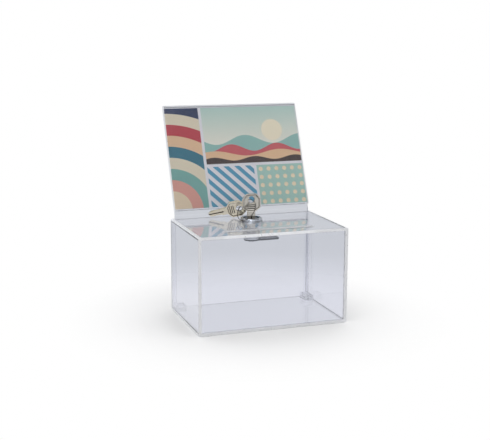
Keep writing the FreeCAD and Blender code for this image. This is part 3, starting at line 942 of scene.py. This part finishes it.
# Rays that show the backdrop: the eye's own and those that a piece mirrors or lets through to it
def seen_rays(tree):
    path = add(tree, "ShaderNodeLightPath")
    seen = path.outputs["Is Camera Ray"]
    for kind in ("Is Glossy Ray", "Is Transmission Ray"):
        seen = add(tree, "ShaderNodeMath", {"operation": "MAXIMUM"}, {
            0: seen, 1: path.outputs[kind]
        })
    from_eye = add(tree, "ShaderNodeMath", {"operation": "LESS_THAN"}, {
        0: path.outputs["Diffuse Depth"], 1: 0.5
    })
    return path, add(tree, "ShaderNodeMath", {"operation": "MULTIPLY"}, {0: seen, 1: from_eye})


# White to the eye, and the pale cool grey of a paper backdrop in the metal and through the acrylic
def backdrop_tone(tree, path, paper):
    return add(tree, "ShaderNodeMix", {"data_type": "RGBA"}, {
        "Factor": path.outputs["Is Camera Ray"], "A": paper, "B": WHITE
    }).outputs["Result"]


# Takes the object's shadow close by and fades into the backdrop further out; rays that come
# through the acrylic see hardly any of the shadow
def studio_floor():
    shadow_near, shadow_far, through_share = 0.085, 0.2, 0.95
    lit_pool_near, lit_pool_far, below = 0.12, 0.3, 0.2 * MM
    bare()
    bpy.ops.mesh.primitive_plane_add(size=FLOOR_SIZE, location=(0, 0, -below))
    floor = settle("studio_floor")
    material, tree, shader, where = begin(
        "studio_floor", Base_Color=linear("#F8F8F8"), Roughness=0.6
    )
    path, seen = seen_rays(tree)
    far = add(tree, "ShaderNodeVectorMath", {"operation": "LENGTH"}, {0: where}).outputs["Value"]
    fade = add(tree, "ShaderNodeMapRange", None, {
        "Value": far, "From Min": shadow_near, "From Max": shadow_far
    })
    through = add(tree, "ShaderNodeMath", {"operation": "MULTIPLY"}, {
        0: path.outputs["Is Transmission Ray"], 1: through_share
    })
    near = add(tree, "ShaderNodeMath", {"operation": "MAXIMUM"}, {0: fade, 1: through})
    amount = add(tree, "ShaderNodeMath", {"operation": "MULTIPLY"}, {0: seen, 1: near})
    # Painted light: near the box, the floor in the metal and through the acrylic is a lighter,
    # bluer grey than the backdrop, a painted pool of light round the box that fades out further
    # away
    away = add(tree, "ShaderNodeMapRange", None, {
        "Value": far, "From Min": lit_pool_near, "From Max": lit_pool_far
    })
    paper = add(tree, "ShaderNodeMix", {"data_type": "RGBA"}, {
        "Factor": away, "A": linear("#E6E8EF"), "B": BACKDROP
    })
    tone = backdrop_tone(tree, path, paper.outputs["Result"])
    white = add(tree, "ShaderNodeEmission", None, {"Color": tone, "Strength": 1.0})
    mix = add(tree, "ShaderNodeMixShader", None, {0: amount, 1: shader, 2: white})
    tree.links.new(mix.outputs[0], tree.get_output_node("ALL").inputs["Surface"])
    floor.data.materials.append(material)


# White behind for the eye, the metal and the acrylic, a plain level for what lights the object,
# and a dark flag, a white screen and two bright lamp faces at the front for the metal to mirror;
# rays that come through the acrylic do not see the lamp faces
def studio_world():
    world = bpy.data.worlds.new("studio")
    bpy.context.scene.world = world
    world.use_nodes = True
    tree = world.node_tree
    tree.nodes.clear()
    path, seen = seen_rays(tree)
    where = add(tree, "ShaderNodeTexCoord").outputs["Generated"]
    glossy_ray = path.outputs["Is Glossy Ray"]
    straight_ray = add(tree, "ShaderNodeMath", {"operation": "SUBTRACT", "use_clamp": True}, {
        0: glossy_ray, 1: path.outputs["Is Transmission Ray"]
    })
    # Direction, cosines at the rim and at the full core, gain, and the rays that see it
    flag = ((0.5, -0.55, 0.67), 0.7, 0.85, -0.85, glossy_ray)
    screen = ((0.2, -0.97, 0.15), 0.6, 0.9, 0.55, glossy_ray)
    high_lamp = ((-0.4, -0.42, 0.82), 0.93, 0.975, 3.0, straight_ray)
    low_lamp = ((-0.4, -0.88, 0.26), 0.965, 0.985, 1.8, straight_ray)
    level = 1.0
    for direction, edge, core, gain, ray in (flag, screen, high_lamp, low_lamp):
        aim = add(tree, "ShaderNodeVectorMath", {"operation": "DOT_PRODUCT"}, {
            0: where, 1: Vector(direction).normalized()
        })
        share = add(tree, "ShaderNodeMapRange", None, {
            "Value": aim.outputs["Value"], "From Min": edge, "From Max": core,
            "To Min": 0.0, "To Max": gain
        })
        level = add(tree, "ShaderNodeMath", {"operation": "MULTIPLY_ADD"}, {
            0: share, 1: ray, 2: level
        })
    light = add(tree, "ShaderNodeBackground", None, {"Color": WHITE, "Strength": 1.0})
    white = add(tree, "ShaderNodeBackground", None, {
        "Color": backdrop_tone(tree, path, BACKDROP), "Strength": level
    })
    mix = add(tree, "ShaderNodeMixShader", None, {0: seen, 1: light, 2: white})
    add(tree, "ShaderNodeOutputWorld", None, {"Surface": mix})


# Soft lamp that the sheets and the metal do not mirror
def softbox(name, place, size, power):
    lamp = bpy.data.lights.new(name, "AREA")
    lamp.size = size
    lamp.energy = power
    holder = bpy.data.objects.new(name, lamp)
    bpy.context.scene.collection.objects.link(holder)
    holder.location = place
    holder.visible_glossy = False
    aim = Vector(LAMP_TARGET) - Vector(place)
    holder.rotation_euler = aim.to_track_quat("-Z", "Y").to_euler()


# Camera at the photograph's angle, from a fit of the box's straight edges
def studio_camera():
    yaw, pitch, roll = (math.radians(angle) for angle in (19.22, 11.08, 0.18))
    target, distance = Vector((-0.01378, 0.0, 0.10201)), 1.0119
    level = math.cos(pitch)
    back = Vector((-math.sin(yaw) * level, -math.cos(yaw) * level, math.sin(pitch)))
    right = (-back).cross(Vector((0, 0, 1))).normalized()
    above = right.cross(-back)
    across = right * math.cos(roll) + above * math.sin(roll)
    upright = above * math.cos(roll) - right * math.sin(roll)
    lens = bpy.data.cameras.new("photo_view")
    lens.sensor_fit = "HORIZONTAL"
    lens.sensor_width = 36.0
    lens.lens = 73.49
    camera = bpy.data.objects.new("photo_view", lens)
    bpy.context.scene.collection.objects.link(camera)
    turn = Matrix((across, upright, back)).transposed().to_4x4()
    camera.matrix_world = Matrix.Translation(target + back * distance) @ turn
    bpy.context.scene.camera = camera


studio_floor()
studio_world()
softbox("key_light", place=(-0.7, -1.2, 1.1), size=2.4, power=5.0)
softbox("side_light", place=(1.2, -0.5, 0.8), size=1.6, power=1.8)
studio_camera()
bpy.context.scene.view_settings.view_transform = "Standard"
